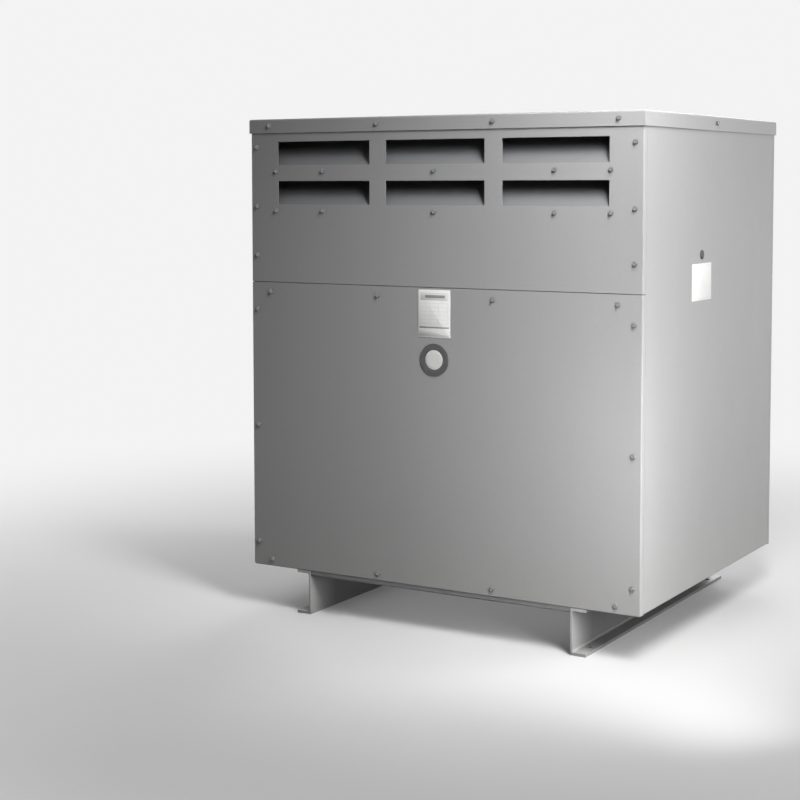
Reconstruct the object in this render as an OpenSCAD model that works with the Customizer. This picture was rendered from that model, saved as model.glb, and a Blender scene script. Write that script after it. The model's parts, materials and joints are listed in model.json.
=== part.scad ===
// Ventilated dry-type distribution transformer in a floor-standing sheet-metal enclosure.
// Millimetres. The origin is on the floor under the middle of the cabinet, the front faces -Y and +Z is up.
// Heights marked "below the top" are measured down from the upper face of the top cover.

/* [Cabinet] */
// Width of the cabinet over its covers
cab_w = 1220; // [1160:5:1400]
// Depth of the cabinet over its covers
cab_d = 1025; // [900:5:1200]
// Height of the cabinet from the top of the feet to the top cover
cab_h = 1300; // [1270:5:1500]
// Sheet thickness of the covers and side panels
sheet = 2; // [1.5:0.5:3]
// Outer radius of the bends in the covers and side panels
bend_r = 4; // [3.5:0.5:8]
// Depth of the side returns on the front and rear covers
cover_return = 18; // [12:1:30]
// Gap between a cover's return and the side panel
return_gap = 1; // [0.5:0.5:3]
// Gap at the seam between the upper panel and the lower cover
seam_gap = 2; // [1:0.5:4]
// Seam between the upper panel and the lower cover, below the top
seam_drop = 468; // [420:1:520]
// Height of the lower edge of the covers above the feet
cover_lift = 2; // [1:1:6]

/* [Top cover] */
// Sheet thickness of the top cover
cap_sheet = 3; // [2:0.5:4]
// Depth of the top cover's down-turned flanges
cap_drop = 40; // [32:1:60]
// Clearance between the top cover's flanges and the panels inside them
cap_fit = 0.3; // [0.2:0.1:1]

/* [Frame] */
// Leg width of the corner posts
post_leg = 50; // [40:1:55]
// Sheet thickness of posts and rails
frame_t = 3; // [2:0.5:4]
// Depth of the base rails, front to back
base_rail_d = 50; // [40:1:60]
// Height of the base rails above the feet
base_rail_h = 60; // [50:1:70]
// How far the base rails hang between the feet
base_rail_hang = 14; // [8:1:25]
// Height of the mid rails behind the seam
mid_rail_h = 60; // [56:1:80]
// Depth of the mid rails
mid_rail_d = 30; // [20:1:40]
// Leg width of the top rails
top_rail_leg = 38; // [34:1:50]
// Width of the side panels' returns at top and bottom
side_return = 25; // [15:1:40]

/* [Feet] */
// Height of the foot channels
foot_h = 127; // [100:1:160]
// Flange width of the foot channels
foot_w = 44.5; // [40:0.5:60]
// Web thickness of the foot channels
foot_web = 4.8; // [4:0.1:8]
// Flange thickness of the foot channels
foot_flange = 8; // [6:0.5:12]
// Distance of the feet from the sides of the cabinet
foot_inset = 153.5; // [120:0.5:200]
// Diameter of the floor anchor holes
anchor_d = 18; // [12:1:22]
// Distance of the anchor holes from the ends of the feet
anchor_inset = 70; // [50:5:150]

/* [Vents] */
// Distance of the outer vents from the sides of the cabinet
vent_side = 95; // [80:1:140]
// Width of the panel left between two vent openings
vent_gap = 53; // [40:1:80]
// Height of one vent opening
vent_h = 67; // [50:1:75]
// Distance between vent rows
vent_row_pitch = 112; // [108:1:125]
// Upper edge of the upper vents, below the top
vent_drop = 65; // [55:1:90]
// Sheet thickness of the baffles
baffle_t = 2; // [1:0.5:3]
// Height of the baffles' screwed flange
baffle_flange = 30; // [24:1:34]
// Length of the baffles' sloping plate
baffle_plate = 86; // [50:1:95]
// Lean of the sloping plate from upright, in degrees
baffle_lean = 40; // [20:1:45]
// Distance of the baffles below the lower edges of the vents
baffle_below = 2; // [1:0.5:4]

/* [Screws] */
// Diameter of the screws' shanks
screw_d = 6.3; // [4:0.1:8]
// Length of the screws under the head
screw_len = 16; // [12:1:20]
// Width across flats of the screws' hexagon heads
screw_flats = 10; // [8:0.5:13]
// Height of the screws' hexagon heads
screw_head_h = 4.5; // [3:0.5:6]
// Diameter of the screws' washer faces
screw_washer_d = 14; // [12:0.5:18]
// Distance of the edge screws from the sides of the cabinet
edge_screw_in = 23; // [18:1:28]
// Uppermost lower cover edge screws, below the seam
edge_screw_first = 78; // [65:1:120]
// Middle lower cover edge screws, below the uppermost
edge_screw_next = 339; // [250:1:400]
// Top cover screws, below the top
cap_screw_drop = 19; // [15:1:25]

/* [Plates] */
// Width of the rating plate
rating_w = 100; // [60:1:160]
// Height of the rating plate
rating_h = 131; // [60:1:160]
// Gap from the seam to the rating plate's upper edge
rating_gap = 6; // [4:1:60]
// Diameter of the round badge
badge_d = 90; // [60:1:120]
// Middle of the round badge, below the seam
badge_drop = 198; // [180:1:300]
// Width of the side label
side_label_w = 147; // [80:1:200]
// Height of the side label
side_label_h = 102; // [60:1:160]
// Middle of the side label, forward of the middle of the cabinet
side_label_fore = 98; // [0:1:200]
// Middle of the side label, below the top
side_label_drop = 456; // [300:1:700]
// Diameter of the side panel's hole plug
plug_d = 26; // [20:1:40]
// Gap from the side label to the middle of the hole plug
plug_gap = 24; // [22:1:80]
// Thickness of the labels and plates
plate_t = 1; // [0.5:0.5:2]

/* [Core] */
// Height of the core's yokes and of the clamps along them
yoke_h = 150; // [120:1:160]
// Thickness of the stack of laminations
stack_d = 170; // [120:1:220]
// Clear height between the low-voltage bars and the top cover
top_clear = 189; // [120:1:260]
// Flange width of the clamps
clamp_w = 70; // [70:1:80]
// Thickness of the clamps
clamp_t = 6; // [4:0.5:8]
// Distance from the clamps' ends to the sides of the cabinet
clamp_clear = 85; // [70:1:120]
// Distance from a clamp's flange to the core window
clamp_back = 30; // [20:1:40]
// Diameter of the vertical tie rods
tie_rod_d = 16; // [12:1:20]
// Distance from the outer windings to the tie rods' centres
tie_gap = 31; // [24:1:50]

/* [Windings] */
// Gap between neighbouring high-voltage windings
coil_gap = 22; // [16:1:50]
// Gap between limb and inner winding
limb_gap = 6; // [4:0.5:8]
// Wall of the low-voltage winding
lv_wall = 28; // [20:1:28]
// Air duct between the two windings
duct = 18; // [12:1:18]
// Wall of the high-voltage winding
hv_wall = 22; // [16:1:22]
// Height by which the conductors stand proud of the high-voltage winding's ends
hv_proud = 2; // [1:0.5:4]
// Distance of the low-voltage winding from the yokes
lv_end = 20; // [15:1:30]
// How much the high-voltage winding is set back from the low-voltage winding at each end
hv_setback = 20; // [12:1:40]
// Width of the duct sticks
stick_w = 12; // [8:1:20]
// Width of the coil blocks
block_w = 50; // [30:1:60]

/* [Base of the core] */
// Height of the core beams
beam_h = 76; // [60:1:100]
// Width of the core beams
beam_w = 60; // [56:1:70]
// Thickness of the core beams
beam_t = 5; // [4:0.5:8]
// Thickness of the isolation pads
pad_h = 12; // [8:1:20]
// Width and depth of the isolation pads
pad_w = 60; // [50:1:60]
// Diameter of the bolts
bolt_d = 12; // [10:1:14]

/* [Terminals] */
// Thickness of the low-voltage bars
bar_t = 6; // [4:1:10]
// Width of the low-voltage bars
bar_w = 40; // [36:1:50]
// Height of the low-voltage bars above their board
bar_rise = 100; // [90:1:120]
// Diameter of the holes for cable lugs
lug_hole_d = 14; // [11:1:15]
// Distance between the two lug holes of a terminal
lug_pitch = 44.5; // [40:0.5:50]
// Clear distance between the low-voltage bars and the neutral bar
neutral_gap = 12; // [10:1:30]
// Thickness of the terminal boards
board_t = 12; // [10:1:20]
// Thickness of the high-voltage leads
lead_t = 3; // [2:0.5:5]
// Width of the high-voltage leads
lead_w = 25; // [20:1:40]

/* [Hidden] */
$fn = 48;
eps = 1; // how far cutting shapes run past the faces that they cut
drill = 60; // length of a drill that passes one wall

cabinet_grey = [0.62, 0.63, 0.63];
frame_grey = [0.50, 0.51, 0.52];
foot_grey = [0.42, 0.43, 0.44];
plated = [0.72, 0.73, 0.74];
label_white = [0.93, 0.93, 0.92];
core_steel = [0.32, 0.33, 0.36];
clamp_blue = [0.30, 0.34, 0.40];
varnish = [0.55, 0.33, 0.16];
varnish_dark = [0.38, 0.20, 0.10];
board_red = [0.62, 0.22, 0.14];
bare_metal = [0.80, 0.81, 0.83];
copper = [0.80, 0.48, 0.30];
brass_tone = [0.80, 0.66, 0.34];
rubber_black = [0.08, 0.08, 0.08];

// Outer faces of the cabinet and the levels of its main pieces
half_w = cab_w / 2;
half_d = cab_d / 2;
top_z = foot_h + cab_h;
under_cap = top_z - cap_sheet;
cover_bottom = foot_h + cover_lift;
cap_bend = 2; // inner radius of the top cover's bends
panel_top = under_cap - cap_bend;
seam_z = top_z - seam_drop;
inner_w = half_w - sheet; // inner faces of the covers and of the side panels
inner_d = half_d - sheet;
post_in_w = inner_w - post_leg; // inner edges of the posts
post_in_d = inner_d - post_leg;
rail_top = foot_h + base_rail_h;
frame_r = frame_t + 2;
cap_out = cap_fit + cap_sheet;

// Vents and baffles, as distances from the middle and heights below the top
vent_w = (cab_w - 2 * (vent_side + vent_gap)) / 3;
vent_pitch = vent_w + vent_gap;
vent_xs = [-vent_pitch, 0, vent_pitch];
vent_drops = [vent_drop, vent_drop + vent_row_pitch];
baffle_w = 2 * (post_in_w - 2);
baffle_end_screw = baffle_w / 2 - 36;
baffle_bend = 3; // inner radius of the baffles' bend
baffle_tops = [for (d = vent_drops) d + vent_h + baffle_below];
baffle_screw_drops = [for (d = baffle_tops) d + baffle_flange / 2];

// Screw places on the front, as [distance from the middle, height below the top]
edge_x = half_w - edge_screw_in;
upper_edge_drops = [80, 249, 390];
lower_first_drop = seam_drop + edge_screw_first;
lower_edge_drops = [lower_first_drop, lower_first_drop + edge_screw_next, cab_h - base_rail_h - 11];
seam_row_drop = seam_drop + 27;
foot_row_drop = cab_h - 21;
row_xs = [for (i = [-1.5, -0.5, 0.5, 1.5]) i * vent_pitch];
baffle_xs = [-baffle_end_screw, -vent_pitch, 0, vent_pitch, baffle_end_screw];
upper_edge_points = [for (d = upper_edge_drops, x = [-edge_x, edge_x]) [x, d]];
lower_edge_points = [for (d = lower_edge_drops, x = [-edge_x, edge_x]) [x, d]];
seam_points = [for (x = row_xs) [x, seam_row_drop]];
foot_points = [for (x = row_xs) [x, foot_row_drop]];
cap_points = [for (x = row_xs) [x, cap_screw_drop]];
function baffle_points(row) = [for (x = baffle_xs) [x, baffle_screw_drops[row]]];
cap_side_ys = [0]; // one screw midway along each side
screw_clear = screw_d + 0.7;
screw_pilot = screw_d + 0.1;
washer_face = 1.2; // thickness of a screw's washer face

// Levels of the core and coil, from the beams upwards
foot_mid_x = half_w - foot_inset - foot_w / 2;
foot_span = 2 * foot_mid_x - foot_w; // distance between the webs' inner faces
clamp_h = yoke_h;
beam_top = foot_h + beam_h;
clamp_z = beam_top + pad_h;
window_z = clamp_z + clamp_h + clamp_back;
core_z = window_z - yoke_h;
window_h = cab_h - cap_sheet - top_clear - bar_rise - 2 * (clamp_h + clamp_back) - pad_h - beam_h;
window_top = window_z + window_h;
upper_clamp_z = window_top + clamp_back;
upper_clamp_top = upper_clamp_z + clamp_h;

// Widths of the core and coil, from the sides of the cabinet inwards
clamp_len = cab_w - 2 * clamp_clear;
tie_x = clamp_len / 2 - 25;
coil_half = (tie_x - tie_gap - coil_gap) / 3; // half the outer width of one coil
limb_pitch = 2 * coil_half + coil_gap;
limb_w = 2 * (coil_half - hv_wall - duct - lv_wall - limb_gap);
core_w = 2 * limb_pitch + limb_w;
limb_xs = [-limb_pitch, 0, limb_pitch];
clamp_y = stack_d / 2; // inner face of the clamps' webs
clamp_mid_y = clamp_y + clamp_w / 2;
clamp_tip_y = clamp_y + clamp_w;
clamp_r = clamp_t + 4;
tie_nut_h = 13;
tie_tail = 11; // length of a tie rod beyond its nut
yoke_bolt_xs = [-limb_pitch - limb_w / 2 + 40, -limb_pitch / 2, limb_pitch / 2, limb_pitch + limb_w / 2 - 40];
yoke_bolt_zs = [window_z - yoke_h / 2, window_top + yoke_h / 2];
bolt_clear = bolt_d + 1;
bolt_flats = 1.5 * bolt_d;
bolt_head_h = 7.5;
nut_h = 10;
bolt_len = 40;

// Windings, as half widths in X and Y
lv_in = [limb_w / 2 + limb_gap, stack_d / 2 + limb_gap];
lv_out = lv_in + [lv_wall, lv_wall];
hv_in = lv_out + [duct, duct];
hv_out = hv_in + [hv_wall, hv_wall];
hv_skin = hv_out - [hv_proud, hv_proud];
lv_z = window_z + lv_end;
lv_h = window_h - 2 * lv_end;
lv_top = lv_z + lv_h;
hv_z = lv_z + hv_setback;
hv_h = lv_h - 2 * hv_setback;
hv_margin = 30; // plain insulation at each end of the high-voltage winding
coil_r = 10; // inner corner radius of the low-voltage winding
lead_x = coil_half * 0.2349; // distance of a low-voltage lead from its coil's centre
block_x = coil_half * 0.67; // distance of a coil block from its coil's centre

// Terminals
board_y = clamp_tip_y + board_t; // outer face of both terminal boards
board_w = clamp_len - 150;
board_bolt_z = upper_clamp_z + clamp_h / 2;
bar_top = upper_clamp_top + bar_rise;
lug_zs = [bar_top - 25 - lug_pitch, bar_top - 25];
neutral_y = board_y + bar_t + neutral_gap; // inner face of the neutral bar
neutral_z = upper_clamp_z + 25;
neutral_end = board_w / 2 + 45 + lug_pitch; // the lug holes lie past the end of the board
tap_board_w = 70;
tap_board_h = hv_h * 7 / 12;
tap_end = tap_board_h / 8; // from the ends of a tap board to its outer studs, and up to its winding's end
tap_z = hv_z + hv_h - tap_end - tap_board_h;
tap_stud_pitch = (tap_board_h - 2 * tap_end) / 5;
tap_stud_d = 10;
tap_stud_len = 22;
tap_nut_flats = 17;
tap_nut_h = 8;

// Earthing
strap_w = 25;
strap_t = 2.5;
strap_x = tie_x - 18; // middle of the strap, and of the bolts at its ends
strap_sag = 22;
strap_bolt_y = -clamp_tip_y + 14; // bolt that joins the strap to the lower clamp
ground_bar_w = 170;
ground_bar_d = 25;
ground_bolt_out = 60; // from the middle of the ground bar to its bolts
ground_bar_x = strap_x - ground_bolt_out; // middle of the ground bar
ground_bar_y = -inner_d + 8 + ground_bar_d / 2;
ground_bolt_xs = [ground_bar_x - ground_bolt_out, strap_x];
ground_hole_xs = [for (i = [-1, 0, 1]) ground_bar_x + i * 35];
ground_hole_d = 10.5; // for the lug bolts of the earthing conductors
spacer_d = 22;
spacer_h = 16; // room below the bar for the lug bolts
ground_bar_z = rail_top + spacer_h;

// Two-dimensional sections

// A rectangle from the origin with the corner at the origin rounded
module corner_rounded(w, h, r) {
    translate([r, 0]) square([w - r, h]);
    translate([0, r]) square([r + 0.01, h - r]);
    translate([r, r]) circle(r);
}

// An angle with its outer corner at the origin and its legs along +X and +Y
module angle_section(leg_x, leg_y, t, r) {
    difference() {
        corner_rounded(leg_x, leg_y, r);
        translate([t, t]) corner_rounded(leg_x, leg_y, r - t);
    }
}

// A channel with its web on the Y axis and its flanges along +X
module channel_section(w, h, t, r) {
    angle_section(w, h / 2, t, r);
    translate([0, h]) mirror([0, 1]) angle_section(w, h / 2, t, r);
}

// A hot-rolled channel with thicker flanges and filleted roots
module rolled_channel_section(w, h, web, flange, root_r) {
    cavity_h = h - 2 * flange;
    difference() {
        square([w, h]);
        translate([web + root_r, flange]) square([w, cavity_h]);
        translate([web, flange + root_r]) square([w, cavity_h - 2 * root_r]);
        for (y = [root_r, cavity_h - root_r]) translate([web + root_r, flange + y]) circle(root_r);
    }
}

// A rectangle about the origin with rounded corners, given by its half widths
module round_rect(half, r) {
    square([2 * half[0], 2 * (half[1] - r)], center = true);
    square([2 * (half[0] - r), 2 * half[1]], center = true);
    for (x = [-1, 1], y = [-1, 1]) translate([x * (half[0] - r), y * (half[1] - r)]) circle(r);
}

// A baffle's section: a flange below the origin, a bend, and a plate that leans towards +X
module baffle_section() {
    outer_r = baffle_bend + baffle_t;
    translate([0, -baffle_flange]) square([baffle_t, baffle_flange]);
    translate([outer_r, 0]) {
        intersection() {
            difference() {
                circle(outer_r);
                circle(baffle_bend);
            }
            translate([-2 * outer_r, 0]) square(2 * outer_r);
            rotate(-baffle_lean) translate([-2 * outer_r, -2 * outer_r]) square(2 * outer_r);
        }
        rotate(-baffle_lean) translate([-outer_r, 0]) square([baffle_t, baffle_plate]);
    }
}

// Placing

// Extrudes a section along X, with the section's X along +Y and its Y up
module along_x(len) {
    rotate([90, 0, 90]) linear_extrude(len, center = true) children();
}

// Extrudes a section along Y, with the section's Y up
module along_y(len) {
    rotate([90, 0, 0]) linear_extrude(len, center = true) children();
}

module to_rear() {
    mirror([0, 1, 0]) children();
}

module to_right() {
    mirror([1, 0, 0]) children();
}

module front_and_rear() {
    children();
    to_rear() children();
}

module left_and_right() {
    children();
    to_right() children();
}

// Drills through the front wall at points given as [x, height below the top]
module front_holes(points, d) {
    for (p = points)
        translate([p[0], -half_d, top_z - p[1]]) rotate([90, 0, 0]) cylinder(h = drill, d = d, center = true);
}

module hexagon(flats, h) {
    cylinder(h = h, d = flats / cos(30), $fn = 6);
}

// Base and frame

module foot() {
    difference() {
        translate([foot_span / 2, 0, 0]) along_y(cab_d)
            rolled_channel_section(foot_w, foot_h, foot_web, foot_flange, 6);
        for (y = [-1, 1]) {
            translate([foot_mid_x, y * (half_d - anchor_inset), -eps])
                cylinder(h = foot_flange + 2 * eps, d = anchor_d);
            translate([foot_mid_x, y * clamp_mid_y, foot_h - foot_flange - eps])
                cylinder(h = foot_flange + 2 * eps, d = bolt_clear);
        }
    }
}

module foot_right() {
    color(foot_grey) foot();
}

module foot_left() {
    color(foot_grey) to_right() foot();
}

// A rail whose lower part hangs between the feet and is coped away over them
// A front base rail, with bolt holes through its upper flange at the given distances
module base_rail(bolt_xs = []) {
    cope_w = half_w - foot_span / 2;
    color(frame_grey) difference() {
        translate([0, -inner_d, foot_h - base_rail_hang]) along_x(2 * (inner_w - bend_r + sheet))
            channel_section(base_rail_d, base_rail_h + base_rail_hang, frame_t, frame_r);
        left_and_right()
            translate([-half_w, -half_d, foot_h - 2 * base_rail_hang]) cube([cope_w, cab_d / 4, 2 * base_rail_hang]);
        front_holes(foot_points, screw_pilot);
        for (x = bolt_xs) translate([x, ground_bar_y, rail_top])
            cylinder(h = drill, d = bolt_clear, center = true);
    }
}

module base_rail_front() {
    base_rail(ground_bolt_xs);
}

module base_rail_rear() {
    to_rear() base_rail();
}

module post() {
    color(frame_grey) difference() {
        translate([-inner_w, -inner_d, rail_top]) linear_extrude(under_cap - rail_top)
            angle_section(post_leg, post_leg, frame_t, frame_r);
        front_holes(concat(upper_edge_points, lower_edge_points), screw_pilot);
    }
}

module post_front_left() {
    post();
}

module post_front_right() {
    to_right() post();
}

module post_rear_left() {
    to_rear() post();
}

module post_rear_right() {
    to_right() to_rear() post();
}

module top_rail() {
    color(frame_grey) difference() {
        translate([0, -inner_d, under_cap]) mirror([0, 0, 1]) along_x(2 * post_in_w)
            angle_section(top_rail_leg, top_rail_leg, frame_t, frame_r);
        front_holes(cap_points, screw_pilot);
    }
}

module top_rail_front() {
    top_rail();
}

module top_rail_rear() {
    to_rear() top_rail();
}

module mid_rail() {
    color(frame_grey) difference() {
        translate([0, -inner_d, seam_z - mid_rail_h * 2 / 3]) along_x(2 * post_in_w)
            channel_section(mid_rail_d, mid_rail_h, frame_t, frame_r);
        front_holes(seam_points, screw_pilot);
    }
}

module mid_rail_front() {
    mid_rail();
}

module mid_rail_rear() {
    to_rear() mid_rail();
}

// Covers

// A flat cover with a bent return at each side, between two levels
module cover_blank(bottom, top) {
    translate([0, 0, bottom]) linear_extrude(top - bottom) {
        for (side = [0, 1]) mirror([side, 0]) translate([-half_w, -half_d])
            angle_section(half_w, cover_return, sheet, bend_r);
    }
}

module upper_panel() {
    color(cabinet_grey) difference() {
        cover_blank(seam_z + seam_gap / 2, panel_top);
        for (x = vent_xs, d = vent_drops)
            translate([x - vent_w / 2, -half_d - eps, top_z - d - vent_h]) cube([vent_w, sheet + 2 * eps, vent_h]);
        front_holes(concat(cap_points, upper_edge_points, baffle_points(0), baffle_points(1)), screw_clear);
    }
}

module front_upper_panel() {
    upper_panel();
}

module rear_upper_panel() {
    to_rear() upper_panel();
}

module lower_cover() {
    color(cabinet_grey) difference() {
        cover_blank(cover_bottom, seam_z - seam_gap / 2);
        front_holes(concat(lower_edge_points, seam_points, foot_points), screw_clear);
    }
}

module front_lower_cover() {
    lower_cover();
}

module rear_lower_cover() {
    to_rear() lower_cover();
}

// The left side panel: its top and bottom returns stop short of the posts
module side_panel() {
    panel_len = cab_d - 2 * (cover_return + return_gap);
    difference() {
        translate([-half_w, 0, cover_bottom]) along_y(panel_len)
            channel_section(side_return, under_cap - cover_bottom, sheet, bend_r);
        front_and_rear()
            translate([-inner_w, -half_d, 0]) cube([side_return, half_d - post_in_d + 1, top_z]);
        for (y = cap_side_ys)
            translate([-half_w, y, top_z - cap_screw_drop]) rotate([0, 90, 0])
                cylinder(h = drill, d = screw_clear, center = true);
    }
}

module side_panel_left() {
    color(cabinet_grey) side_panel();
}

plug_z = top_z - side_label_drop + side_label_h / 2 + plug_gap;
plug_hole_d = plug_d - 4;

module side_panel_right() {
    color(cabinet_grey) difference() {
        to_right() side_panel();
        translate([half_w, -side_label_fore, plug_z]) rotate([0, 90, 0])
            cylinder(h = drill, d = plug_hole_d, center = true);
    }
}

// A tray with rounded bends, open below, between two half widths
module tray(half_x, half_y, height, r) {
    intersection() {
        mirror([0, 0, 1]) along_x(2 * half_x) for (side = [0, 1]) mirror([side, 0])
            translate([-half_y, 0]) corner_rounded(half_y, height, r);
        mirror([0, 0, 1]) along_y(2 * half_y) for (side = [0, 1]) mirror([side, 0])
            translate([-half_x, 0]) corner_rounded(half_x, height, r);
    }
}

module top_cover() {
    cap_r = cap_sheet + cap_bend;
    color(cabinet_grey) difference() {
        translate([0, 0, top_z]) tray(half_w + cap_out, half_d + cap_out, cap_drop, cap_r);
        translate([0, 0, under_cap]) tray(half_w + cap_fit, half_d + cap_fit, cap_drop, cap_bend);
        front_and_rear() front_holes(cap_points, screw_clear);
        left_and_right() for (y = cap_side_ys)
            translate([-half_w, y, top_z - cap_screw_drop]) rotate([0, 90, 0])
                cylinder(h = drill, d = screw_clear, center = true);
    }
}

module baffle(row) {
    color(cabinet_grey) difference() {
        translate([0, -inner_d, top_z - baffle_tops[row]]) along_x(baffle_w) baffle_section();
        front_holes(baffle_points(row), screw_pilot);
    }
}

module baffle_front_upper() {
    baffle(0);
}

module baffle_front_lower() {
    baffle(1);
}

module baffle_rear_upper() {
    to_rear() baffle(0);
}

module baffle_rear_lower() {
    to_rear() baffle(1);
}

// Screws and plates

// A sheet-metal screw that stands head up on the plane z = 0
module screw() {
    cylinder(h = washer_face, d = screw_washer_d);
    hexagon(screw_flats, washer_face + screw_head_h);
    translate([0, 0, -screw_len]) cylinder(h = screw_len + washer_face, d = screw_d);
}

module screws_on_front(points, out) {
    for (p = points) translate([p[0], -half_d - out, top_z - p[1]]) rotate([90, 0, 0]) screw();
}

module panel_screws() {
    color(plated) {
        front_and_rear() {
            screws_on_front(concat(upper_edge_points, lower_edge_points, seam_points, foot_points), 0);
            screws_on_front(concat(baffle_points(0), baffle_points(1)), 0);
            screws_on_front(cap_points, cap_out);
        }
        left_and_right() for (y = cap_side_ys)
            translate([-half_w - cap_out, y, top_z - cap_screw_drop]) rotate([0, -90, 0]) screw();
    }
}

// A plate on the front with rounded corners, from its lower edge upwards
module rating_plate() {
    color(label_white)
        translate([0, -half_d, seam_z - rating_gap - rating_h / 2]) rotate([90, 0, 0])
            linear_extrude(plate_t) round_rect([rating_w / 2, rating_h / 2], 3);
}

// A round badge with a raised rim
module round_badge() {
    rim_w = 8;
    color(frame_grey) translate([0, -half_d, seam_z - badge_drop]) rotate([90, 0, 0]) {
        cylinder(h = plate_t, d = badge_d);
        difference() {
            cylinder(h = 2 * plate_t, d = badge_d);
            cylinder(h = 3 * plate_t, d = badge_d - 2 * rim_w);
        }
    }
}

module side_label() {
    color(label_white)
        translate([half_w, -side_label_fore, top_z - side_label_drop]) rotate([90, 0, 90])
            linear_extrude(plate_t / 2) round_rect([side_label_w / 2, side_label_h / 2], 2);
}

// A snap-in plug: a domed head outside the panel and a ring of wall behind it
module side_plug() {
    head_h = 3;
    color(rubber_black) translate([half_w, -side_label_fore, plug_z]) rotate([0, 90, 0]) rotate_extrude() {
        polygon([[0, 0], [plug_d / 2, 0], [plug_d / 2, head_h / 3], [plug_d / 2 - 2, head_h], [0, head_h]]);
        translate([plug_hole_d / 2 - 2.3, -8]) square([2, 8]);
    }
}

// Base of the core

module core_beam() {
    color(foot_grey) difference() {
        translate([0, clamp_mid_y - beam_w / 2, foot_h]) along_x(2 * (foot_span / 2 + foot_w))
            channel_section(beam_w, beam_h, beam_t, beam_t + 3);
        left_and_right() translate([-foot_mid_x, clamp_mid_y, foot_h + beam_h / 2])
            cylinder(h = 2 * beam_h, d = bolt_clear, center = true);
    }
}

module core_beam_rear() {
    core_beam();
}

module core_beam_front() {
    to_rear() core_beam();
}

module isolation_pads() {
    color(rubber_black) front_and_rear() left_and_right() difference() {
        translate([-foot_mid_x - pad_w / 2, clamp_mid_y - pad_w / 2, beam_top]) cube([pad_w, pad_w, pad_h]);
        translate([-foot_mid_x, clamp_mid_y, beam_top - eps]) cylinder(h = pad_h + 2 * eps, d = bolt_clear);
    }
}

// Bolts and nuts: each place is [point under the head, turn of the head's axis from +Z, grip]
beam_bolt_places = [
    for (x = [-1, 1], y = [-1, 1])
        [[x * foot_mid_x, y * clamp_mid_y, foot_h + beam_t], [0, 0, 0], beam_t + foot_flange]
];
pad_bolt_places = [
    for (x = [-1, 1], y = [-1, 1])
        [[x * foot_mid_x, y * clamp_mid_y, clamp_z + clamp_t], [0, 0, 0], clamp_t + pad_h + beam_t]
];
lv_bolt_places = [for (x = limb_xs) [[x - lead_x, board_y + bar_t, board_bolt_z], [-90, 0, 0], bar_t + board_t]];
hv_bolt_places = [for (x = limb_xs) [[x, -board_y - lead_t, board_bolt_z], [90, 0, 0], lead_t + board_t]];
ground_bolt_places = [
    [[ground_bolt_xs[0], ground_bar_y, ground_bar_z + bar_t], [0, 0, 0], bar_t + spacer_h + frame_t],
    [[strap_x, ground_bar_y, ground_bar_z + bar_t + strap_t], [0, 0, 0], strap_t + bar_t + spacer_h + frame_t],
    [[strap_x, strap_bolt_y, clamp_z + clamp_t + strap_t], [0, 0, 0], strap_t + clamp_t]
];
short_bolt_places = concat(beam_bolt_places, pad_bolt_places, lv_bolt_places, hv_bolt_places, ground_bolt_places);
clamp_bolt_places = [
    for (x = yoke_bolt_xs, z = yoke_bolt_zs) [[x, -clamp_y - clamp_t, z], [90, 0, 0], 2 * (clamp_y + clamp_t)]
];

module bolt(len) {
    hexagon(bolt_flats, bolt_head_h);
    translate([0, 0, -len]) cylinder(h = len + eps, d = bolt_d);
}

module hex_bolts() {
    color(plated) for (p = short_bolt_places) translate(p[0]) rotate(p[1]) bolt(bolt_len);
}

module clamp_bolts() {
    color(plated) for (p = clamp_bolt_places) translate(p[0]) rotate(p[1]) bolt(p[2] + 2 * nut_h);
}

module hex_nuts() {
    color(plated) for (p = concat(short_bolt_places, clamp_bolt_places))
        translate(p[0]) rotate(p[1]) translate([0, 0, -p[2] - nut_h]) difference() {
            hexagon(bolt_flats, nut_h);
            translate([0, 0, -eps]) cylinder(h = nut_h + 2 * eps, d = bolt_d + 0.1);
        }
}

// Core and clamps

module yoke_holes() {
    for (x = yoke_bolt_xs, z = yoke_bolt_zs)
        translate([x, 0, z]) rotate([90, 0, 0]) cylinder(h = 2 * clamp_tip_y, d = bolt_clear, center = true);
}

// The three limbs and the lower yoke, stacked as one before the coils go on
module core_legs() {
    color(core_steel) difference() {
        along_y(stack_d) {
            translate([-core_w / 2, core_z]) square([core_w, yoke_h]);
            for (x = limb_xs) translate([x - limb_w / 2, core_z]) square([limb_w, yoke_h + window_h]);
        }
        yoke_holes();
    }
}

// The upper yoke, laid on the limbs after the coils
module core_top_yoke() {
    color(core_steel) difference() {
        translate([-core_w / 2, -clamp_y, window_top]) cube([core_w, stack_d, yoke_h]);
        yoke_holes();
    }
}

// A rear clamp: its web lies on the yoke and its flanges point away from the core
module clamp(z, strap_bolts = []) {
    color(clamp_blue) difference() {
        translate([0, clamp_y, z]) along_x(clamp_len) channel_section(clamp_w, clamp_h, clamp_t, clamp_r);
        yoke_holes();
        left_and_right() translate([-tie_x, clamp_mid_y, window_z + window_h / 2])
            cylinder(h = window_h + 2 * clamp_back + 4 * clamp_t, d = tie_rod_d + 1, center = true);
        left_and_right() translate([-foot_mid_x, clamp_mid_y, clamp_z])
            cylinder(h = drill, d = bolt_clear, center = true);
        for (x = strap_bolts) translate([x, -strap_bolt_y, clamp_z])
            cylinder(h = drill, d = bolt_clear, center = true);
    }
}

module clamp_lower_rear() {
    clamp(clamp_z);
}

module clamp_lower_front() {
    to_rear() clamp(clamp_z, [strap_x]);
}

module clamp_upper_rear() {
    clamp(upper_clamp_z);
}

module clamp_upper_front() {
    to_rear() clamp(upper_clamp_z);
}

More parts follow.
